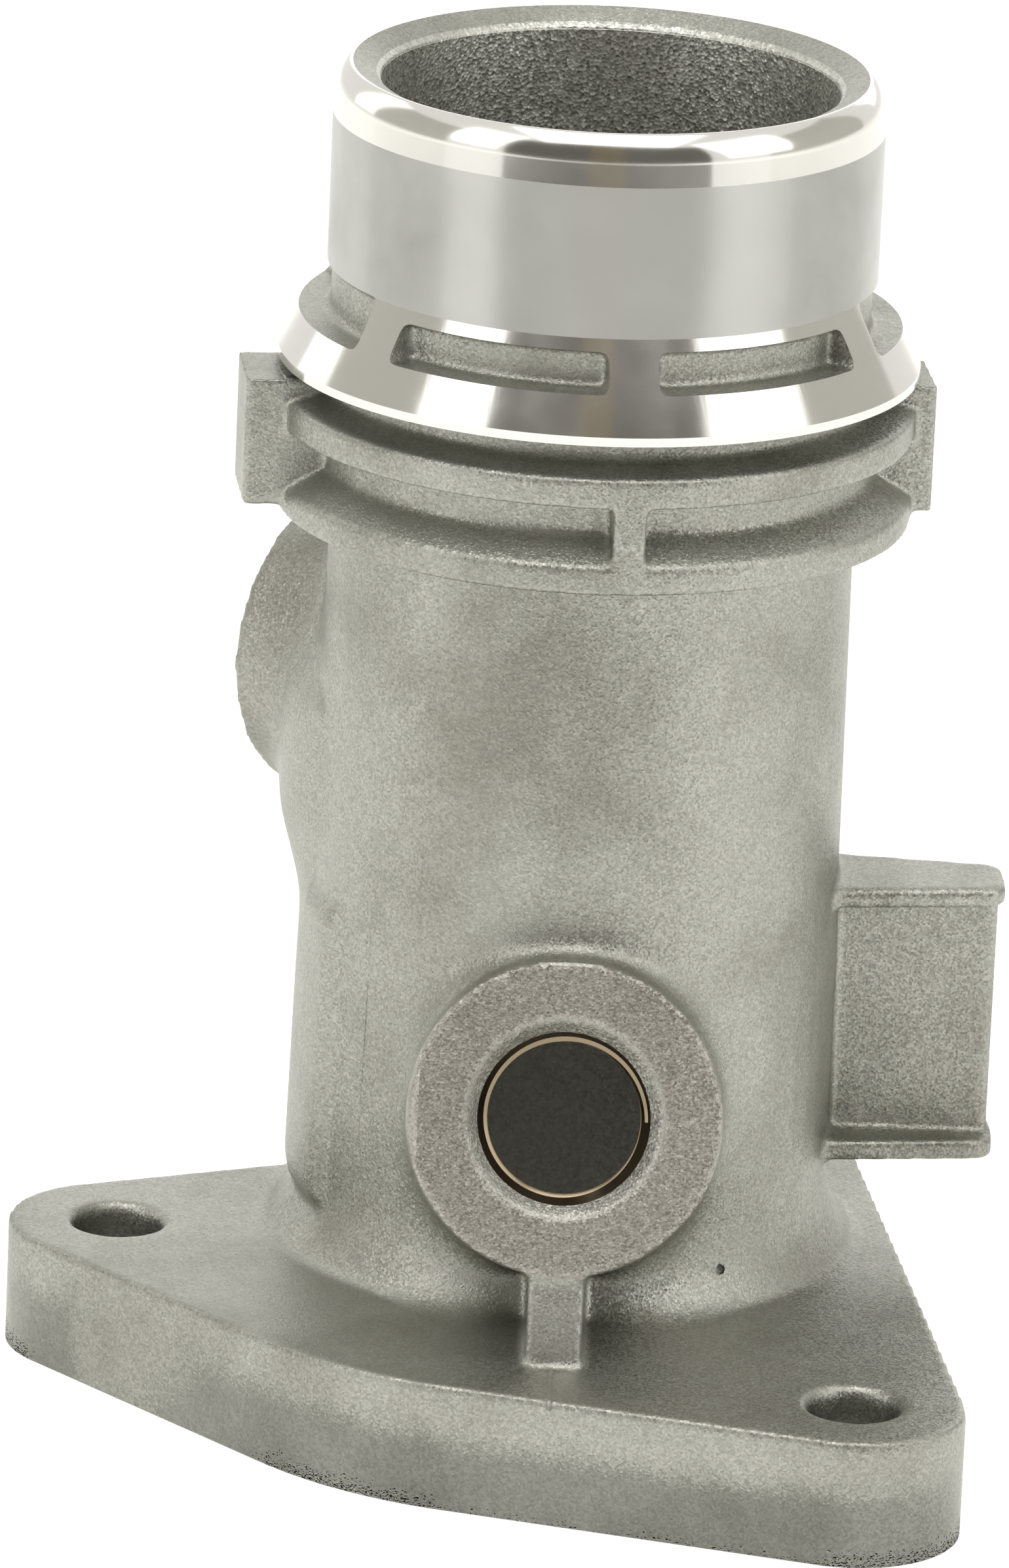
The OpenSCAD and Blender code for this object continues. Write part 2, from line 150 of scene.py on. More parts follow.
def blasted_aluminium(name, colour, stain_and_shade, dent, depth, roughness, tilt, deep_shade=None):
    """Dents are dent wide and depth deep; the last colour, if there is one, is painted shade that
    darkens the metal lower down.
    """
    material, tree = new_material(name)
    place = add(tree, "ShaderNodeTexCoord").outputs["Object"]
    dents = add(
        tree, "ShaderNodeTexVoronoi", {"Vector": place, "Scale": 1 / dent, "Randomness": 1.0},
    )
    clouds = add(
        tree, "ShaderNodeTexNoise",
        {"Vector": place, "Scale": 1 / cloud_size, "Detail": 3.0, "Roughness": 0.55},
    )
    cell = add(tree, "ShaderNodeSeparateColor", {"Color": dents.outputs["Color"]})
    # Painted shade: the metal is darkened in a patch above the sensor boss.
    from_shade_spot = add(
        tree, "ShaderNodeVectorMath", {0: place, 1: shade_spot}, operation="DISTANCE",
    )
    shade_spot_fading = add(
        tree, "ShaderNodeMapRange",
        {
            "Value": from_shade_spot.outputs["Value"], "From Min": shade_spot_full, "From Max": shade_spot_gone,
            "To Min": shade_spot_weight, "To Max": 0,
        },
    )
    clouds_and_shade = add(
        tree, "ShaderNodeMath", {0: clouds.outputs["Fac"], 1: shade_spot_fading.outputs["Result"]},
        operation="ADD",
    )
    stain_and_shade_share = add(
        tree, "ShaderNodeMapRange",
        {"Value": clouds_and_shade.outputs[0], "From Min": cloud_low, "From Max": cloud_high},
    )
    base = add(
        tree, "ShaderNodeMix",
        {"Factor": stain_and_shade_share.outputs["Result"], "A": linear(stain_and_shade), "B": linear(colour)},
        data_type="RGBA",
    )
    # Painted shade: the metal darkens lower down in the bore.
    if deep_shade:
        height = add(tree, "ShaderNodeSeparateXYZ", {"Vector": place}).outputs["Z"]
        unshaded_share = add(
            tree, "ShaderNodeMapRange",
            {"Value": height, "From Min": deep_shade_full, "From Max": deep_shade_gone},
        )
        base = add(
            tree, "ShaderNodeMix",
            {"Factor": unshaded_share.outputs["Result"], "A": linear(deep_shade), "B": base.outputs["Result"]},
            data_type="RGBA",
        )
    speck = add(
        tree, "ShaderNodeMapRange",
        {"Value": cell.outputs["Red"], "To Min": shade_low, "To Max": shade_high},
    )
    speckled = add(
        tree, "ShaderNodeVectorMath", {0: base.outputs["Result"], 1: speck.outputs["Result"]},
        operation="MULTIPLY",
    )
    gloss = add(
        tree, "ShaderNodeMapRange",
        {
            "Value": cell.outputs["Green"], "To Min": roughness - gloss_spread,
            "To Max": roughness + gloss_spread,
        },
    )
    lean = add(
        tree, "ShaderNodeVectorMath",
        {0: dents.outputs["Color"], 1: (tilt, tilt, tilt), 2: (-tilt / 2, -tilt / 2, -tilt / 2)},
        operation="MULTIPLY_ADD",
    )
    leaning = add(
        tree, "ShaderNodeVectorMath",
        {0: add(tree, "ShaderNodeNewGeometry").outputs["Normal"], 1: lean.outputs["Vector"]},
        operation="ADD",
    )
    facet = add(tree, "ShaderNodeVectorMath", {0: leaning.outputs["Vector"]}, operation="NORMALIZE")
    bump = add(
        tree, "ShaderNodeBump",
        {
            "Height": dents.outputs["Distance"], "Distance": depth, "Strength": 1.0,
            "Normal": facet.outputs["Vector"],
        },
    )
    metal = add(
        tree, "ShaderNodeBsdfPrincipled",
        {
            "Base Color": speckled.outputs["Vector"], "Metallic": 1.0,
            "Roughness": gloss.outputs["Result"], "Normal": bump.outputs["Normal"],
        },
    )
    add(tree, "ShaderNodeOutputMaterial", {"Surface": metal.outputs["BSDF"]})
    return material


# Outer skin of the die casting, blasted with fine steel shot.
cast_skin = blasted_aluminium(
    "shot_blasted_die_cast_aluminium", colour="#A5A49C", stain_and_shade="#8B8A80",
    dent=0.2 * mm, depth=0.02 * mm, roughness=0.46, tilt=0.22,
)
# Wall of the bore, as it left the core of the die, with painted shade that darkens it lower down.
bore_skin = blasted_aluminium(
    "die_cast_aluminium_in_the_bore", colour="#C4C3BB", stain_and_shade="#B9B8B0",
    dent=0.3 * mm, depth=0.04 * mm, roughness=0.44, tilt=0.22, deep_shade="#7C7970",
)
# Face of the sensor boss, blasted harder than the rest.
coarse_skin = blasted_aluminium(
    "coarse_die_cast_aluminium", colour="#A8A59C", stain_and_shade="#9C9990",
    dent=0.22 * mm, depth=0.03 * mm, roughness=0.46, tilt=0.32,
)
print("casting materials", cast_skin.name, bore_skin.name, coarse_skin.name)

# %% [markdown]
# The spigot is turned on a lathe. The tool leaves fine grooves round the axis, which smear every
# reflection up and down. The rim and the ramp are finished finer and nearly mirror the studio.
# Handling leaves patches that are a little duller.

# %% Turned aluminium
patch_size = 9 * mm
patch_low, patch_high = 0.3, 0.7
gloss_share, dull_share = 0.85, 1.2
smear_along_axis = 0.25


def turned_aluminium(name, colour, feed, depth, roughness, smear):
    """Grooves are feed apart and depth deep; smear says how far they draw out a reflection."""
    material, tree = new_material(name)
    place = add(tree, "ShaderNodeTexCoord").outputs["Object"]
    height = add(tree, "ShaderNodeSeparateXYZ", {"Vector": place})
    grooves = add(
        tree, "ShaderNodeTexNoise",
        {"W": height.outputs["Z"], "Scale": 1 / feed, "Detail": 2.0, "Roughness": 0.6},
        noise_dimensions="1D",
    )
    handling = add(
        tree, "ShaderNodeTexNoise",
        {"Vector": place, "Scale": 1 / patch_size, "Detail": 4.0, "Roughness": 0.6},
    )
    gloss = add(
        tree, "ShaderNodeMapRange",
        {
            "Value": handling.outputs["Fac"], "From Min": patch_low, "From Max": patch_high,
            "To Min": roughness * gloss_share, "To Max": roughness * dull_share,
        },
    )
    bump = add(
        tree, "ShaderNodeBump",
        {"Height": grooves.outputs["Fac"], "Distance": depth, "Strength": 1.0},
    )
    round_axis = add(tree, "ShaderNodeTangent", direction_type="RADIAL", axis="Z")
    metal = add(
        tree, "ShaderNodeBsdfPrincipled",
        {
            "Base Color": linear(colour), "Metallic": 1.0, "Roughness": gloss.outputs["Result"],
            "Anisotropic": smear, "Anisotropic Rotation": smear_along_axis,
            "Tangent": round_axis.outputs["Tangent"],
            "Normal": bump.outputs["Normal"],
        },
    )
    add(tree, "ShaderNodeOutputMaterial", {"Surface": metal.outputs["BSDF"]})
    return material


# Sealing cylinder, turned with a plain feed.
satin_turned = turned_aluminium(
    "satin_turned_aluminium", colour="#B1B0AB",
    feed=0.12 * mm, depth=0.0008 * mm, roughness=0.33, smear=0.97,
)
# Rim and ramp, turned with a fine feed.
bright_turned = turned_aluminium(
    "fine_turned_aluminium", colour="#DCDAD4",
    feed=0.1 * mm, depth=0.0003 * mm, roughness=0.14, smear=0.75,
)
# Milled underside and tapped thread. Their dark warm colour is painted shade for the depth of the
# port.
milled_and_tapped = turned_aluminium(
    "milled_aluminium", colour="#8E806A",
    feed=0.12 * mm, depth=0.0008 * mm, roughness=0.28, smear=0.3,
)
print("turned materials", satin_turned.name, bright_turned.name, milled_and_tapped.name)

# %% [markdown]
# Every piece is a bmesh that becomes an object at the origin. Modifiers are applied at once, so
# that the next step works on the real shape. Cuts use the solver for closed solids.

# %% Modelling helpers
def to_piece(bm, name):
    mesh = bpy.data.meshes.new(name)
    bm.to_mesh(mesh)
    bm.free()
    piece = bpy.data.objects.new(name, mesh)
    bpy.context.scene.collection.objects.link(piece)
    return piece


def apply_modifier(piece, kind, **settings):
    modifier = piece.modifiers.new(kind.lower(), kind)
    for name, value in settings.items():
        setattr(modifier, name, value)
    bpy.context.view_layer.update()
    shaped = bpy.data.meshes.new_from_object(
        piece.evaluated_get(bpy.context.evaluated_depsgraph_get())
    )
    piece.modifiers.clear()
    old = piece.data
    piece.data = shaped
    bpy.data.meshes.remove(old)


def machine(piece, cutter, operation="DIFFERENCE"):
    apply_modifier(piece, "BOOLEAN", operation=operation, solver="MANIFOLD", object=cutter)
    bpy.data.objects.remove(cutter)


def whole(bm):
    return list(bm.verts) + list(bm.edges) + list(bm.faces)


def arc(centre_r, centre_z, radius, first, last, steps):
    """Points (r, z) on an arc between two angles in degrees."""
    return [
        (
            centre_r + radius * math.cos(math.radians(first + (last - first) * i / steps)),
            centre_z + radius * math.sin(math.radians(first + (last - first) * i / steps)),
        )
        for i in range(steps + 1)
    ]


weld = 0.001 * mm


def spin_profile(bm, profile, steps=256, first=0.0, angle=2 * math.pi):
    """Adds a solid of revolution about Z to bm: profile is a closed outline of (r, z) points."""
    corners = [bm.verts.new((r, 0, z)) for r, z in profile]
    face = bm.faces.new(corners)
    bmesh.ops.rotate(bm, verts=corners, cent=(0, 0, 0), matrix=Matrix.Rotation(first, 3, "Z"))
    full = math.isclose(angle, 2 * math.pi)
    outline = corners + list(face.edges)
    if full:
        bmesh.ops.delete(bm, geom=[face], context="FACES_ONLY")
    else:
        outline.append(face)
    bmesh.ops.spin(
        bm, geom=outline, cent=(0, 0, 0), axis=(0, 0, 1), dvec=(0, 0, 0), angle=angle,
        steps=steps, use_merge=full, use_duplicate=False,
    )
    bmesh.ops.remove_doubles(bm, verts=bm.verts, dist=weld)
    bmesh.ops.recalc_face_normals(bm, faces=bm.faces)

# %% [markdown]
# These sizes place the machined end. The heights run down from the rim, as on a drawing.

# %% Sizes of the connector
bore_r = mounts["main_bore"]["dims"]["r_mm"] * mm
spigot_r = mounts["spigot"]["dims"]["r_mm"] * mm
spigot_h = mounts["spigot"]["dims"]["length_mm"] * mm
spigot_top = mounts["spigot"]["pos_m"][2] + spigot_h / 2
ramp_top = spigot_top - spigot_h
ramp_low = ramp_top - 8.2 * mm
groove_top = ramp_low - 0.85 * mm
ring_top = groove_top - 3.4 * mm
gap_top = ring_top - 2.8 * mm
gap_low = gap_top - 5.7 * mm
ring_low = gap_low - 2.6 * mm
ramp_r = 30.4 * mm
ring_r = 30.1 * mm
wall_r = 26.4 * mm
pocket_r = 25.5 * mm
tube_r_top = 24.9 * mm
tube_r_foot = 25.5 * mm
flange_t = 12.2 * mm
connector_turn = math.radians(7)
seam = ring_low - 1.15 * mm
print("connector from", round(seam / mm, 2), "to", round(cad_high.z / mm, 2), "mm")


def tube_radius(z):
    share = (z - flange_t) / (ring_low - flange_t)
    return tube_r_foot + (tube_r_top - tube_r_foot) * share

# %% [markdown]
# The connector blank is spun from one outline: tube, two rings with sloping tops, the ramp and the
# spigot. Where the lathe will cut, the blank is thicker by the stock that a foundry leaves on.

# %% Connector blank
stock = 0.7 * mm
overlap = 0.5 * mm
below_seam = 2 * mm
low_ring_slope = 2.3 * mm
top_ring_slope = 1.1 * mm
top_of_blank = cad_high.z + stock
blank = bmesh.new()
spin_profile(blank, [
    (bore_r, seam - below_seam),
    (tube_radius(seam), seam - below_seam),
    (tube_r_top, ring_low),
    (ring_r, ring_low),
    (ring_r, gap_low),
    (wall_r, gap_low + low_ring_slope),
    (wall_r, gap_top),
    (ring_r, gap_top),
    (ring_r, ring_top),
    (wall_r, ring_top + top_ring_slope),
    (wall_r, groove_top),
    (ramp_r + stock, groove_top),
    (ramp_r + stock, ramp_low),
    (spigot_r + stock, ramp_top),
    (spigot_r + stock, top_of_blank),
    (bore_r, top_of_blank),
], steps=192)
connector = to_piece(blank, "connector")
print("blank", len(connector.data.polygons), "faces")

# %% [markdown]
# Six pockets save metal in the ramp. Each starts as a spun segment between two pillars, is cut
# parallel to them, and gets round corners before it is taken out of the blank.
# The two side pockets run up to the spigot. The others leave a narrow band above them.

# %% Ramp pockets
pillar_w = 4.6 * mm
# The pillars stand at these turns in degrees, counted from the front.
pillar_turns = [0, 55, 125, 180, 235, 305]
front_deg = -90
side_pocket_deg = 60
pocket_floor = ramp_top - 4.7 * mm
pocket_roof = ramp_top - 1.1 * mm
side_roof = ramp_top + 0.1 * mm
pocket_out = ramp_r + 3 * mm
pocket_steps = 40
corner_round = 0.9 * mm


def pocket_cutter(bm_all, first_deg, last_deg, roof):
    bm = bmesh.new()
    first, last = math.radians(first_deg + front_deg), math.radians(last_deg + front_deg)
    spin_profile(bm, [
        (pocket_r, pocket_floor), (pocket_out, pocket_floor), (pocket_out, roof), (pocket_r, roof),
    ], steps=pocket_steps, first=first, angle=last - first)
    for angle, side in ((first, 1), (last, -1)):
        across = Vector((-math.sin(angle), math.cos(angle), 0)) * side
        cut = bmesh.ops.bisect_plane(
            bm, geom=whole(bm), plane_co=across * pillar_w / 2, plane_no=across, clear_inner=True,
        )
        edges = [e for e in cut["geom_cut"] if isinstance(e, bmesh.types.BMEdge)]
        bmesh.ops.contextual_create(bm, geom=edges)
        corners = [e for e in edges if abs(e.verts[0].co.z - e.verts[1].co.z) < weld]
        bmesh.ops.bevel(
            bm, geom=corners, offset=corner_round, affect="EDGES", segments=4, profile=0.5,
            material=-1,
        )
    mesh = bpy.data.meshes.new("pocket")
    bmesh.ops.rotate(
        bm, verts=bm.verts, cent=(0, 0, 0), matrix=Matrix.Rotation(connector_turn, 3, "Z"),
    )
    bmesh.ops.recalc_face_normals(bm, faces=bm.faces)
    bm.to_mesh(mesh)
    bm.free()
    bm_all.from_mesh(mesh)
    bpy.data.meshes.remove(mesh)


pockets = bmesh.new()
for first_turn, last_turn in zip(pillar_turns, pillar_turns[1:] + [360]):
    wide = last_turn - first_turn > side_pocket_deg
    pocket_cutter(pockets, first_turn, last_turn, side_roof if wide else pocket_roof)
open_edges = sum(1 for e in pockets.edges if not e.is_manifold)
print("pocket cutters", len(pockets.faces), "faces,", open_edges, "open edges")
machine(connector, to_piece(pockets, "pockets"))

# %% [markdown]
# Ribs at front and back tie the two rings together, and square lugs stand out at both sides.
# They only have to overlap the blank, because the next step fuses everything into one skin.

# %% Ribs and lugs
rib_w = 3.2 * mm
rib_half = rib_w / 2 / ring_r
rib_steps = 8
lug_w = 9.5 * mm
lug_ends = {-1: 33.7 * mm, 1: 31.8 * mm}
lug_low = ring_low + 1 * mm
lug_high = groove_top - 1 * mm

extras = bmesh.new()
for middle in (-math.pi / 2, math.pi / 2):
    spin_profile(extras, [
        (wall_r - overlap, gap_low - overlap), (ring_r, gap_low - overlap),
        (ring_r, gap_top + overlap), (wall_r - overlap, gap_top + overlap),
    ], steps=rib_steps, first=middle - rib_half, angle=2 * rib_half)
for side, reach in lug_ends.items():
    root = wall_r - overlap
    place = Matrix.Translation((side * (root + reach) / 2, 0, (lug_low + lug_high) / 2))
    size = Matrix.Diagonal((reach - root, lug_w, lug_high - lug_low, 1))
    bmesh.ops.create_cube(extras, size=1, matrix=place @ size)
bmesh.ops.rotate(
    extras, verts=extras.verts, cent=(0, 0, 0), matrix=Matrix.Rotation(connector_turn, 3, "Z"),
)
fused = bmesh.new()
fused.from_mesh(connector.data)
extras_piece = to_piece(extras, "extras")
fused.from_mesh(extras_piece.data)
bpy.data.objects.remove(extras_piece)
bpy.data.objects.remove(connector)
connector = to_piece(fused, "turned_connector")
print("connector with ribs and lugs", len(connector.data.polygons), "faces")

# %% [markdown]
# A die casting has no sharp edge anywhere. Remeshing to small even quads and then smoothing the
# points gives every edge its radius at once, which bevels on such a shape couldn't.

# %% Connector skin
connector_grain = 0.33 * mm
connector_softness = 7
connector_triangles = 80000


def cast_blank(piece, grain, softness):
    """Turns a sharp blank into one closed skin with rounded edges."""
    apply_modifier(piece, "REMESH", mode="VOXEL", voxel_size=grain, use_smooth_shade=True)
    apply_modifier(piece, "SMOOTH", factor=0.5, iterations=softness)


def thin_out(piece, most):
    quads = len(piece.data.polygons)
    share = min(1.0, most / quads)
    apply_modifier(piece, "DECIMATE", ratio=share, use_collapse_triangulate=True)
    print(piece.name, "skin", quads, "quads, then", len(piece.data.polygons), "triangles")


cast_blank(connector, connector_grain, connector_softness)
thin_out(connector, connector_triangles)

# %% [markdown]
# Now the lathe. One spun solid holds everything that the tool leaves standing, and what the
# blank and this solid share is the finished connector. Only the stock is cut, so the pockets keep
# their cast skin and get the crisp edges that the real ones have.

# %% Lathe cut
rim_low = spigot_top + 2 * mm
rim_r = spigot_r - 0.2 * mm
rim_round = 3.4 * mm
rim_centre = rim_r - rim_round
crown_round = 0.45 * mm
crown_deg, crown_end_deg = 50, 122
crown_in = (rim_round - crown_round) * math.cos(math.radians(crown_deg))
crown_up = (rim_round - crown_round) * math.sin(math.radians(crown_deg))
lip_r, lip_z = bore_r + 0.45 * mm, spigot_top + 3.7 * mm
mouth_round, mouth_drop = 0.45 * mm, 0.7 * mm
mouth_deg, mouth_end_deg = 110, 180
ramp_skirt = 1.2 * mm
core_r = 1 * mm
clear_of_part = 45 * mm
rounded_rim = arc(rim_centre, rim_low, rim_round, 0, crown_deg, steps=16)
crown = arc(
    rim_centre + crown_in, rim_low + crown_up, crown_round, crown_deg, crown_end_deg, steps=10,
)
mouth = arc(lip_r, lip_z - mouth_drop, mouth_round, mouth_deg, mouth_end_deg, steps=6)
lathe = bmesh.new()
spin_profile(lathe, [
    (core_r, seam),
    (clear_of_part, seam),
    (clear_of_part, groove_top - ramp_skirt),
    (ramp_r, groove_top - ramp_skirt),
    (ramp_r, ramp_low),
    (spigot_r, ramp_top),
    (spigot_r, spigot_top),
] + rounded_rim + crown[1:] + [(lip_r, lip_z)] + mouth + [(core_r, mouth[-1][1])], steps=300)
machine(connector, to_piece(lathe, "lathe"), "INTERSECT")
print("turned blank", len(connector.data.polygons), "faces")

# %% [markdown]
# Each face gets its finish from where it lies. An edge is sharp where two machined faces meet at
# an angle, where a machined face meets the skin, and on the seam between the two pieces.
# Flat neighbours are joined and normals weighted by area, so no thin face shows as a streak.

# %% Finishes of the connector
cast_i, bore_i, satin_i, bright_i = range(4)
first_machined = 2
sliver = 0.002 * mm
flat_deg = 0.4
turned_crisp_deg = 4.5
seam_touch = 0.01 * mm
wall_skin = 0.4 * mm
groove_skin = 0.1 * mm
off_tool_path = 0.02 * mm


def on_seam(edge):
    return all(abs(v.co.z - seam) < seam_touch for v in edge.verts)


def finish(piece, materials, finish_of, soft_pairs, crisp_deg):
    """Sets materials and sharp edges. Soft pairs are finishes that run into one another."""
    piece.data.materials.clear()
    for material in materials:
        piece.data.materials.append(material)
    bm = bmesh.new()
    bm.from_mesh(piece.data)
    bmesh.ops.dissolve_degenerate(bm, edges=bm.edges, dist=sliver)
    for face in bm.faces:
        face.material_index = finish_of(face)
        face.smooth = True
    for edge in bm.edges:
        if len(edge.link_faces) == 2:
            pair = {f.material_index for f in edge.link_faces}
            bent = edge.calc_face_angle() > math.radians(crisp_deg)
            border = len(pair) == 2 and pair not in soft_pairs
            if (bent and min(pair) >= first_machined) or border or on_seam(edge):
                edge.smooth = False
    bmesh.ops.dissolve_limit(
        bm, angle_limit=math.radians(flat_deg), use_dissolve_boundaries=False, verts=bm.verts,
        edges=bm.edges, delimit={"MATERIAL", "SHARP"},
    )
    bm.to_mesh(piece.data)
    bm.free()
    apply_modifier(piece, "WEIGHTED_NORMAL", mode="FACE_AREA", weight=50, keep_sharp=True)
    print(piece.name, "finished,", len(piece.data.polygons), "faces")


def turned_radius(z):
    if z < ramp_low:
        return ramp_r
    if z < ramp_top:
        return ramp_r + (spigot_r - ramp_r) * (z - ramp_low) / (ramp_top - ramp_low)
    return spigot_r


def connector_finish(face):
    centre = face.calc_center_median()
    radius = math.hypot(centre.x, centre.y)
    if centre.z > spigot_top and radius > rim_centre + crown_in:
        return bright_i
    if centre.z > lip_z:
        return cast_i
    if radius < bore_r + wall_skin:
        return bore_i
    if centre.z > groove_top - groove_skin:
        worst = max(abs(math.hypot(v.co.x, v.co.y) - turned_radius(v.co.z)) for v in face.verts)
        if worst < off_tool_path:
            return satin_i if centre.z > ramp_top else bright_i
    return cast_i


finish(
    connector, (cast_skin, bore_skin, satin_turned, bright_turned), connector_finish,
    [{cast_i, bore_i}], turned_crisp_deg,
)

# %% [markdown]
# The lower casting starts from a copy of the CAD solid, so flange, bosses and lug sit where the
# part has them. Its ends are drawn out first, because smoothing would round them too.
# A ring fills the seal groove, which is cut crisp at the end like the real one.
# Another ring adds a flare at the tube's foot, where the metal flows into the flange.

# %% Lower casting blank
cad_weld = 0.0005 * mm
cut_z = ring_low - 0.4 * mm
near_cut_z = ring_low - 0.5 * mm
touch = 0.01 * mm
spare = 2 * mm
seal_r = 27.6 * mm
seal_w = 3.4 * mm
seal_depth = 2.2 * mm
plug_side, plug_top = 0.3 * mm, seal_depth + 0.4 * mm
plug_in, plug_out = seal_r - seal_w - plug_side, seal_r + plug_side
flare_round = 10 * mm
flare_top = flange_t + 7.1 * mm
flare_lap = 0.2 * mm
sunk = 1 * mm

lower = bmesh.new()
lower.from_mesh(cad_casting.data)
bmesh.ops.remove_doubles(lower, verts=lower.verts, dist=cad_weld)
cut = bmesh.ops.bisect_plane(
    lower, geom=whole(lower), plane_co=(0, 0, cut_z), plane_no=(0, 0, 1), clear_outer=True,
)
rim_edges = [e for e in cut["geom_cut"] if isinstance(e, bmesh.types.BMEdge)]
bmesh.ops.bridge_loops(lower, edges=rim_edges)
top_points = [v for v in lower.verts if v.co.z > near_cut_z]
bmesh.ops.translate(lower, verts=top_points, vec=(0, 0, spare))
foot_points = [v for v in lower.verts if v.co.z < touch]
bmesh.ops.translate(lower, verts=foot_points, vec=(0, 0, -spare))
bmesh.ops.recalc_face_normals(lower, faces=lower.faces)
spin_profile(lower, [
    (plug_in, -spare), (plug_out, -spare), (plug_out, plug_top), (plug_in, plug_top),
])
flare = arc(tube_r_foot + flare_round, flare_top, flare_round, 225, 180, steps=12)
spin_profile(lower, [
    (tube_r_foot - sunk, flange_t - sunk), (flare[0][0], flange_t - sunk),
] + flare + [(tube_r_foot - sunk, flare_top + flare_lap)])
casting = to_piece(lower, "casting")
print("lower casting blank", len(casting.data.polygons), "faces")

# %% [markdown]
# The lower casting gets the same soft skin as the connector, from slightly larger quads.

# %% Lower casting skin
casting_grain = 0.42 * mm
casting_softness = 8
casting_triangles = 86000
cast_blank(casting, casting_grain, casting_softness)
print("casting skin", len(casting.data.polygons), "quads")

# %% [markdown]
# The sensor boss and the branch boss grow out of the tube in wide fillets, which help the melt to
# flow. More smoothing there makes them, weighted so that crisp parts next to them stay as they
# are. The edges of the bare pad on the tube's left are softened in the same way.

# %% Fillets of the bosses
port_to_face = 6 * mm
port_axis = Vector(mounts["sensor_port"]["axis"])
boss_face = Vector(mounts["sensor_port"]["pos_m"]) + port_to_face * port_axis
boss_r = 14.9 * mm
branch_reach = 31.3 * mm
branch_axis = Vector(mounts["branch_port"]["axis"])
branch_face = Vector((0, 0, mounts["branch_port"]["pos_m"][2])) + branch_reach * branch_axis
in_tube = -1 * mm


def off_axis(point, on_axis, axis):
    rel = point - on_axis
    return (rel - axis * rel.dot(axis)).length


def off_tube(point):
    return math.hypot(point.x, point.y) - tube_radius(point.z)


def ramp(value, low, high):
    return min(1.0, max(0.0, (value - low) / (high - low)))


boss_back_y = -13 * mm
behind_low, behind_high = 0.9 * mm, 2.6 * mm
over_rib = (21 * mm, 25 * mm)
beside_rib = (3.5 * mm, 6.5 * mm)
boss_fillet = (5 * mm, 10 * mm)


def sensor_root(point):
    """1 on the line where the sensor boss leaves the tube, 0 where its fillet ends."""
    behind_face = -(point - boss_face).dot(port_axis)
    if point.y > boss_back_y or behind_face < behind_low or off_tube(point) < in_tube:
        return 0.0
    from_boss = off_axis(point, boss_face, port_axis) - boss_r
    off_rib = max(ramp(point.z, *over_rib), ramp(abs(point.x), *beside_rib))
    near = 1 - ramp(math.hypot(from_boss, off_tube(point)), *boss_fillet)
    return off_rib * near * ramp(behind_face, behind_low, behind_high)


neck_y, neck_z, neck_start = -5 * mm, 24 * mm, -30 * mm
neck_fillet = (26 * mm, 32 * mm)
neck_end = (-3 * mm, -1.2 * mm)


def branch_root(point):
    """1 on the neck of the branch boss, 0 on the tube and on the rim of the boss's face."""
    along = (point - branch_face).dot(branch_axis)
    if point.x > 0 or point.y < neck_y or point.z < neck_z or along < neck_start:
        return 0.0
    if off_tube(point) < in_tube:
        return 0.0
    near = 1 - ramp(off_axis(point, branch_face, branch_axis), *neck_fillet)
    return near * (1 - ramp(along, *neck_end))


pad_x, pad_y = -14 * mm, 19 * mm
pad_foot = (15 * mm, 18 * mm)
pad_head = (49 * mm, 52 * mm)


def left_pad(point):
    """1 on the bare pad on the tube's left, whose edges fade into the tube."""
    if point.x > pad_x or point.y > pad_y or off_tube(point) < in_tube:
        return 0.0
    return ramp(point.z, *pad_foot) * (1 - ramp(point.z, *pad_head))


def fillet(piece, name, share_of, times):
    group = piece.vertex_groups.new(name=name)
    touched = 0
    for point in piece.data.vertices:
        share = share_of(point.co)
        if share > 0:
            group.add([point.index], share, "REPLACE")
            touched += 1
    apply_modifier(piece, "SMOOTH", factor=0.5, iterations=times, vertex_group=name)
    piece.vertex_groups.clear()
    print(name, touched, "points, smoothed", times, "times")


fillet(casting, "sensor_boss_root", sensor_root, times=420)
fillet(casting, "left_pad", left_pad, times=50)
fillet(casting, "branch_neck", branch_root, times=120)
thin_out(casting, casting_triangles)

# %% [markdown]
# Now the crisp cuts of the lower casting. First come the faced underside with its seal groove and
# the flat end under the connector. Every cutter is a closed solid that is taken out of the skin.

# %% Facing
slab_w = 200 * mm
slab_t = 12 * mm
clear = 1 * mm


def slab(bm, low, high):
    size = Matrix.Diagonal((slab_w, slab_w, high - low, 1))
    bmesh.ops.create_cube(bm, size=1, matrix=Matrix.Translation((0, 0, (low + high) / 2)) @ size)


tools = bmesh.new()
slab(tools, seam, seam + slab_t)
slab(tools, -slab_t, 0)
machine(casting, to_piece(tools, "saw"))
groover = bmesh.new()
spin_profile(groover, [
    (seal_r - seal_w, -clear), (seal_r, -clear),
    (seal_r, seal_depth), (seal_r - seal_w, seal_depth),
])
machine(casting, to_piece(groover, "groover"))
print("faced casting", len(casting.data.polygons), "faces")

# %% [markdown]
# The die leaves a flash line on the flange, in front of the rib, and a pit beside the boss.

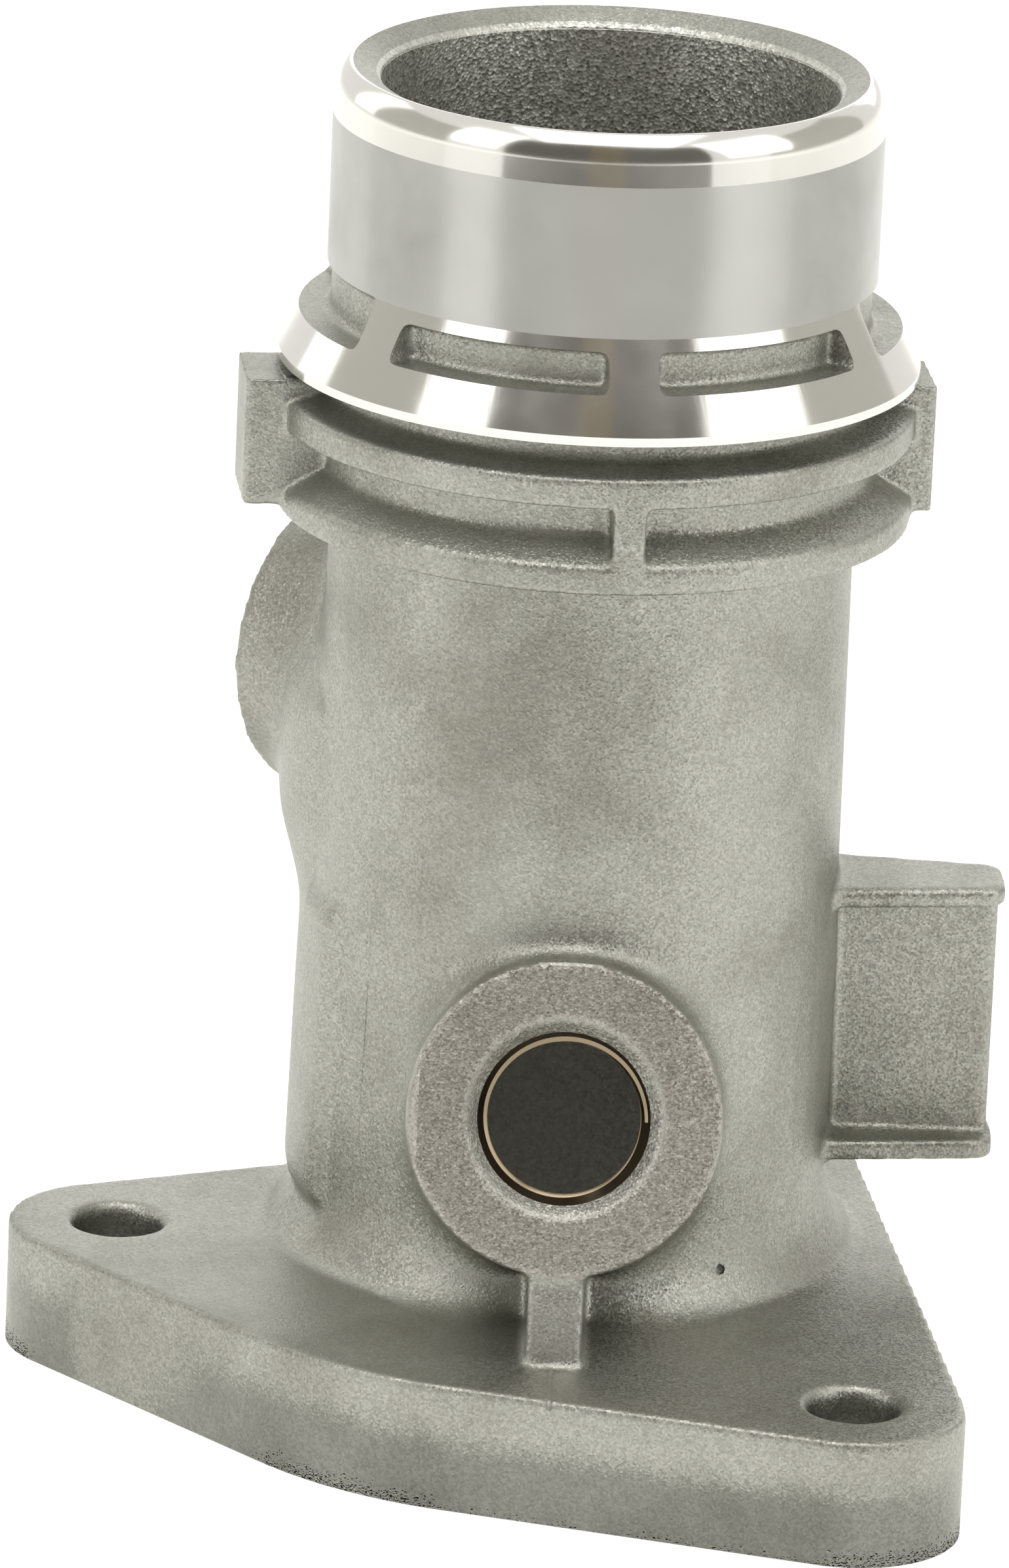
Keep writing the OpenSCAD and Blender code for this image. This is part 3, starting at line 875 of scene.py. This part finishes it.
# %% Flash line and pit
flash_size = Matrix.Diagonal((0.4 * mm, 8.4 * mm, 1 * mm, 1))
flash_place = Matrix.Translation((-0.2 * mm, -45.6 * mm, flange_t - 0.3 * mm))
pit_place = Matrix.Translation((15.4 * mm, -21.2 * mm, 15.6 * mm))
pit_r = 0.5 * mm
flash = bmesh.new()
bmesh.ops.create_cube(flash, size=1, matrix=flash_place @ flash_size)
machine(casting, to_piece(flash, "flash"), "UNION")
pit = bmesh.new()
bmesh.ops.create_icosphere(pit, subdivisions=3, radius=pit_r, matrix=pit_place)
machine(casting, to_piece(pit, "pit"))
print("with flash and pit", len(casting.data.polygons), "faces")

# %% [markdown]
# The port is drilled to the thread's crests, with a steep cone at its mouth. The drill is a spun
# solid that is turned to the port's axis. The tap is one helical strip with the flats and flanks
# of a metric thread, closed at both ends.

# %% Drilling and tapping
pitch = 1.5 * mm
crest_flat, root_flat = pitch / 4, pitch / 8
flank = (pitch - crest_flat - root_flat) / 2
thread_crest = mounts["sensor_port"]["dims"]["r_mm"] * mm
thread_root = 8 * mm
thread_start = 0.9 * mm
thread_weld = 0.005 * mm
mouth_r = 8.07 * mm
cast_mouth_r = 9.39 * mm
mouth_depth = cast_mouth_r - mouth_r
drill_r = thread_crest + 0.05 * mm
drill_depth = 22 * mm
needle_r = 0.01 * mm
steep = math.tan(math.radians(60))


def onto(bm, face_centre, axis):
    turn = axis.to_track_quat("Z", "Y").to_matrix().to_4x4()
    bmesh.ops.transform(bm, matrix=Matrix.Translation(face_centre) @ turn, verts=bm.verts)


drill = bmesh.new()
spin_profile(drill, [
    (needle_r, -drill_depth), (drill_r, -drill_depth),
    (drill_r, -mouth_depth - (mouth_r - drill_r) * steep),
    (mouth_r + clear, -mouth_depth + clear * steep),
    (needle_r, -mouth_depth + clear * steep),
], steps=96)
onto(drill, boss_face, port_axis)
machine(casting, to_piece(drill, "drill"))

tap = bmesh.new()
points = [
    tap.verts.new((r, 0, z)) for r, z in (
        (thread_crest, 0), (thread_crest, -crest_flat), (thread_root, -crest_flat - flank),
        (thread_root, -crest_flat - flank - root_flat), (thread_crest, -pitch),
    )
]
profile = [tap.edges.new(pair) for pair in zip(points, points[1:])]
per_turn = 60
turns = 12
bmesh.ops.spin(
    tap, geom=points + profile, cent=(0, 0, 0), axis=(0, 0, 1), dvec=(0, 0, -pitch / per_turn),
    angle=2 * math.pi * turns, steps=per_turn * turns, use_merge=False, use_duplicate=False,
)
bmesh.ops.remove_doubles(tap, verts=tap.verts, dist=thread_weld)
bmesh.ops.holes_fill(tap, edges=[e for e in tap.edges if e.is_boundary], sides=0)
bmesh.ops.triangulate(tap, faces=[f for f in tap.faces if len(f.verts) > 4])
bmesh.ops.recalc_face_normals(tap, faces=tap.faces)
onto(tap, boss_face - thread_start * port_axis, port_axis)
open_edges = sum(1 for e in tap.edges if not e.is_manifold)
print("tap", len(tap.faces), "faces,", open_edges, "open edges")
machine(casting, to_piece(tap, "tap"))
print("machined casting", len(casting.data.polygons), "faces")

# %% [markdown]
# The lower casting is finished like the connector. Its machined faces are the underside with the
# seal groove and the port, and the face of the sensor boss is coarser than the rest.

# %% Finishes of the lower casting
milled_i, coarse_i = 2, 3
casting_crisp_deg = 15
bore_skin_w = 0.3 * mm
mouth_lap = 0.05 * mm
face_skin = 0.35 * mm


def casting_finish(face):
    centre = face.calc_center_median()
    radius = math.hypot(centre.x, centre.y)
    if radius < bore_r + bore_skin_w:
        return bore_i
    in_groove = seal_r - seal_w - touch < radius < seal_r + touch and centre.z < seal_depth + touch
    if centre.z < touch or in_groove:
        return milled_i
    height = (centre - boss_face).dot(port_axis)
    from_axis = off_axis(centre, boss_face, port_axis)
    if from_axis < mouth_r and -drill_depth < height < -mouth_depth + mouth_lap:
        return milled_i
    if height > -face_skin and cast_mouth_r < from_axis < boss_r:
        return coarse_i
    return cast_i


finish(
    casting, (cast_skin, bore_skin, milled_and_tapped, coarse_skin), casting_finish,
    [{cast_i, bore_i}, {cast_i, coarse_i}, {bore_i, coarse_i}], casting_crisp_deg,
)

# %% [markdown]
# Both pieces stand for the one CAD node and ride on its body.

# %% Hand the pieces to the frame
for piece in (connector, casting):
    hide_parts("coolant_flange")
    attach(piece, "root")

# %% [markdown]
# The floor and the world are plain and pale. Rays from the camera and from reflections see both a
# little brighter than they are as light, so the ground is white and the part isn't washed out.

# %% Floor and world
floor_half = 3
floor_gap = 0.05 * mm
floor_glow = 0.3
world_light, world_seen = 0.85, 1.0


def seen_or_mirrored(tree):
    """1 for rays from the camera or a reflection, 0 for scattered light."""
    path = add(tree, "ShaderNodeLightPath")
    either = add(
        tree, "ShaderNodeMath",
        {0: path.outputs["Is Camera Ray"], 1: path.outputs["Is Glossy Ray"]}, operation="MAXIMUM",
    )
    return either.outputs[0]


floor_mesh = bmesh.new()
bmesh.ops.create_grid(floor_mesh, x_segments=1, y_segments=1, size=floor_half)
floor = to_piece(floor_mesh, "floor")
floor.data.transform(Matrix.Translation((0, 0, -floor_gap)))

# Matt photographer's paper.
paper, tree = new_material("pale_paper")
matt = add(tree, "ShaderNodeBsdfDiffuse", {"Color": linear("#F2F2F0")})
glow = add(tree, "ShaderNodeEmission", {"Color": (1, 1, 1, 1), "Strength": floor_glow})
lit = add(tree, "ShaderNodeAddShader", {0: matt.outputs["BSDF"], 1: glow.outputs["Emission"]})
surface = add(
    tree, "ShaderNodeMixShader",
    {0: seen_or_mirrored(tree), 1: matt.outputs["BSDF"], 2: lit.outputs["Shader"]},
)
add(tree, "ShaderNodeOutputMaterial", {"Surface": surface.outputs["Shader"]})
floor.data.materials.append(paper)

world = bpy.data.worlds.new("studio")
bpy.context.scene.world = world
world.use_nodes = True
tree = world.node_tree
tree.nodes.clear()
strength = add(
    tree, "ShaderNodeMix", {"Factor": seen_or_mirrored(tree), "A": world_light, "B": world_seen},
    data_type="FLOAT",
)
sky = add(
    tree, "ShaderNodeBackground",
    {"Color": linear("#FCFBF8"), "Strength": strength.outputs["Result"]},
)
add(tree, "ShaderNodeOutputWorld", {"Surface": sky.outputs["Background"]})
print("floor and world ready")

# %% [markdown]
# Metal shows what stands round it. In an all-white studio it would look flat, so a dark flag and
# a warm board stand in front, and grey walls at both sides. Only reflections show them.
# These sizes are in metres.

# %% Boards round the part
board_foot = 0.05
side_wall_r, side_wall_h = 1.8, 1.5
side_wall_deg = 60
side_wall_starts_deg = (-20, 140)


def hang(sheet, name, colour):
    """A sheet of felt that only the shine of the metal shows."""
    card = to_piece(sheet, name)
    material, tree = new_material(name)
    felt = add(tree, "ShaderNodeBsdfDiffuse", {"Color": linear(colour)})
    add(tree, "ShaderNodeOutputMaterial", {"Surface": felt.outputs["BSDF"]})
    card.data.materials.append(material)
    card.visible_camera = False
    card.visible_diffuse = False
    card.visible_shadow = False


def board(name, colour, width, height, distance):
    sheet = bmesh.new()
    stand = (
        Matrix.Translation((0, -distance, board_foot + height / 2))
        @ Matrix.Rotation(math.radians(90), 4, "X")
        @ Matrix.Diagonal((width, height, 1, 1))
    )
    bmesh.ops.create_grid(sheet, x_segments=1, y_segments=1, size=0.5, matrix=stand)
    hang(sheet, name, colour)


board("dark_flag", "#656360", width=0.92, height=0.62, distance=0.5)
board("warm_board", "#776F5F", width=0.12, height=0.6, distance=0.48)

wall = bmesh.new()
for start_deg in side_wall_starts_deg:
    turn = Matrix.Rotation(math.radians(start_deg), 3, "Z")
    line = [wall.verts.new(turn @ Vector((side_wall_r, 0, z))) for z in (0, side_wall_h)]
    bmesh.ops.spin(
        wall, geom=line + [wall.edges.new(line)], cent=(0, 0, 0), axis=(0, 0, 1), dvec=(0, 0, 0),
        angle=math.radians(side_wall_deg), steps=16, use_merge=False, use_duplicate=False,
    )
hang(wall, "grey_wall", "#D2D1CD")
print("boards ready")

# %% [markdown]
# Five softboxes stand round the part: two in front, one above, and two weak ones behind for its
# outline. Large and near, they give the soft wide highlights of the photograph.

# %% Lights
aim = Vector((0, 0, 70 * mm))


def softbox(name, side_deg, height_deg, distance, size, power):
    """A lamp aimed at the part. Side 0 degrees is towards the camera, positive to the right."""
    side, height = math.radians(side_deg), math.radians(height_deg)
    flat = math.cos(height)
    away = Vector((math.sin(side) * flat, -math.cos(side) * flat, math.sin(height)))
    place = distance * away
    lamp = bpy.data.lights.new(name, "AREA")
    lamp.shape = "RECTANGLE"
    lamp.size, lamp.size_y = size
    lamp.energy = power
    holder = bpy.data.objects.new(name, lamp)
    bpy.context.scene.collection.objects.link(holder)
    facing = (place - aim).to_track_quat("Z", "Y").to_matrix().to_4x4()
    holder.matrix_world = Matrix.Translation(place) @ facing


softbox("softbox_left", side_deg=-57, height_deg=32, distance=1.1, size=(0.42, 0.9), power=1.7)
softbox("softbox_right", side_deg=66, height_deg=32, distance=1.1, size=(0.62, 0.9), power=2.3)
softbox("softbox_left_back", side_deg=-122, height_deg=24, distance=1.1, size=(0.35, 0.8), power=0.9)
softbox("softbox_above", side_deg=0, height_deg=70, distance=1.15, size=(0.9, 0.9), power=5.2)
softbox("softbox_behind", side_deg=172, height_deg=20, distance=1.4, size=(1.3, 0.5), power=1.8)
bpy.context.scene.view_settings.view_transform = "Standard"
print("studio ready")
